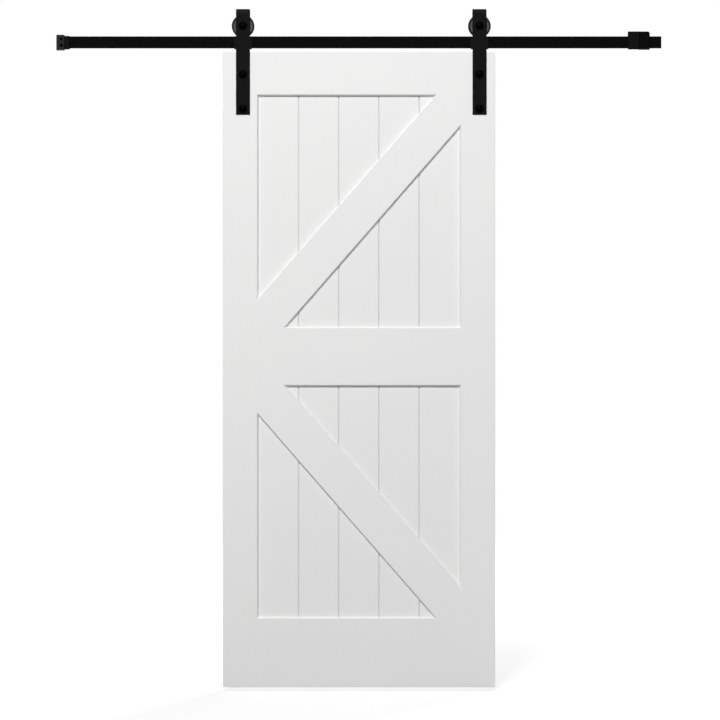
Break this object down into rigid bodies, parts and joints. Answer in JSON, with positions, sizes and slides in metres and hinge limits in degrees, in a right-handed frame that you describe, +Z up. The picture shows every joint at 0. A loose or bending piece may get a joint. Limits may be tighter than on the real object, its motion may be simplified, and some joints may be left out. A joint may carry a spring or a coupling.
{
  "type": "sliding barn door",
  "caption": "Framed, diagonally braced door leaf with V-grooved boards, hung by bent straps and grooved wheels from a flat wall track with rubber end stops.",
  "frame": {"origin": "on the wall plane, at mid-length and mid-height of the track, midway between the outer wall screws", "axes": "+X along the track to the right seen from the front, +Y to the wall, +Z up"},
  "size_m": [2.032, 0.121, 2.2786],
  "materials": {
    "leaf_paint": "white satin primer",
    "board_paint": "white satin primer",
    "dowel_wood": "bare beech",
    "track_black": "black powder coat",
    "hardware_black": "black powder coat",
    "fastener_black": "black oxide",
    "bumper_rubber": "matt rubber",
    "pad_plastic": "matt nylon",
    "wheel_steel": "black, turned web",
    "bearing_steel": "ground steel",
    "cage_brass": "stamped brass"
  },
  "bodies": {
    "rail": {"track": "track_black", "standoff_1": "hardware_black", "standoff_2": "hardware_black", "standoff_3": "hardware_black", "standoff_4": "hardware_black", "standoff_5": "hardware_black", "lag_screws": "fastener_black", "end_stop_left": "hardware_black", "bumper_left": "bumper_rubber", "stop_screws_left": "fastener_black", "end_stop_right": "hardware_black", "bumper_right": "bumper_rubber", "stop_screws_right": "fastener_black"},
    "door": {"stile_left": "leaf_paint", "stile_right": "leaf_paint", "rail_top": "leaf_paint", "rail_middle": "leaf_paint", "rail_bottom": "leaf_paint", "board_upper_1": "board_paint", "board_upper_2": "board_paint", "board_upper_3": "board_paint", "board_upper_4": "board_paint", "board_upper_5": "board_paint", "board_lower_1": "board_paint", "board_lower_2": "board_paint", "board_lower_3": "board_paint", "board_lower_4": "board_paint", "board_lower_5": "board_paint", "brace_upper_front": "leaf_paint", "brace_upper_rear": "leaf_paint", "brace_lower_front": "leaf_paint", "brace_lower_rear": "leaf_paint", "dowels": "dowel_wood", "strap_left": "hardware_black", "strap_right": "hardware_black", "guide_pad_left": "pad_plastic", "guide_pad_right": "pad_plastic", "pad_screws": "fastener_black", "hanger_bolts": "fastener_black", "sleeve_nuts": "fastener_black", "axle_left": "fastener_black", "axle_right": "fastener_black", "axle_nuts": "fastener_black", "axle_spacers": "bearing_steel", "inner_race_left": "bearing_steel", "inner_race_right": "bearing_steel"},
    "wheel_left": {"wheel_left": "wheel_steel", "outer_race_left": "bearing_steel"},
    "wheel_right": {"wheel_right": "wheel_steel", "outer_race_right": "bearing_steel"},
    "balls_left": {"balls_left": "bearing_steel", "cage_left": "cage_brass"},
    "balls_right": {"balls_right": "bearing_steel", "cage_right": "cage_brass"}
  },
  "joints": [
    {"name": "door_slide", "type": "slide", "parent": "rail", "child": "door", "axis": [1, 0, 0], "range_m": [-0.5505, 0.4655]},
    {"name": "wheel_left_spin", "type": "hinge", "parent": "door", "child": "wheel_left", "pos_m": [-0.3897, -0.039, 0.0542], "axis": [0, 1, 0], "continuous": true},
    {"name": "balls_left_spin", "type": "hinge", "parent": "door", "child": "balls_left", "pos_m": [-0.3897, -0.039, 0.0542], "axis": [0, 1, 0], "continuous": true},
    {"name": "wheel_right_spin", "type": "hinge", "parent": "door", "child": "wheel_right", "pos_m": [0.4047, -0.039, 0.0542], "axis": [0, 1, 0], "continuous": true},
    {"name": "balls_right_spin", "type": "hinge", "parent": "door", "child": "balls_right", "pos_m": [0.4047, -0.039, 0.0542], "axis": [0, 1, 0], "continuous": true}
  ],
  "couplings": [
    {"joint": "wheel_left_spin", "follows": "door_slide", "rad_per_m": 29.412},
    {"joint": "balls_left_spin", "follows": "door_slide", "rad_per_m": 18.683},
    {"joint": "wheel_right_spin", "follows": "door_slide", "rad_per_m": 29.412},
    {"joint": "balls_right_spin", "follows": "door_slide", "rad_per_m": 18.683}
  ]
}
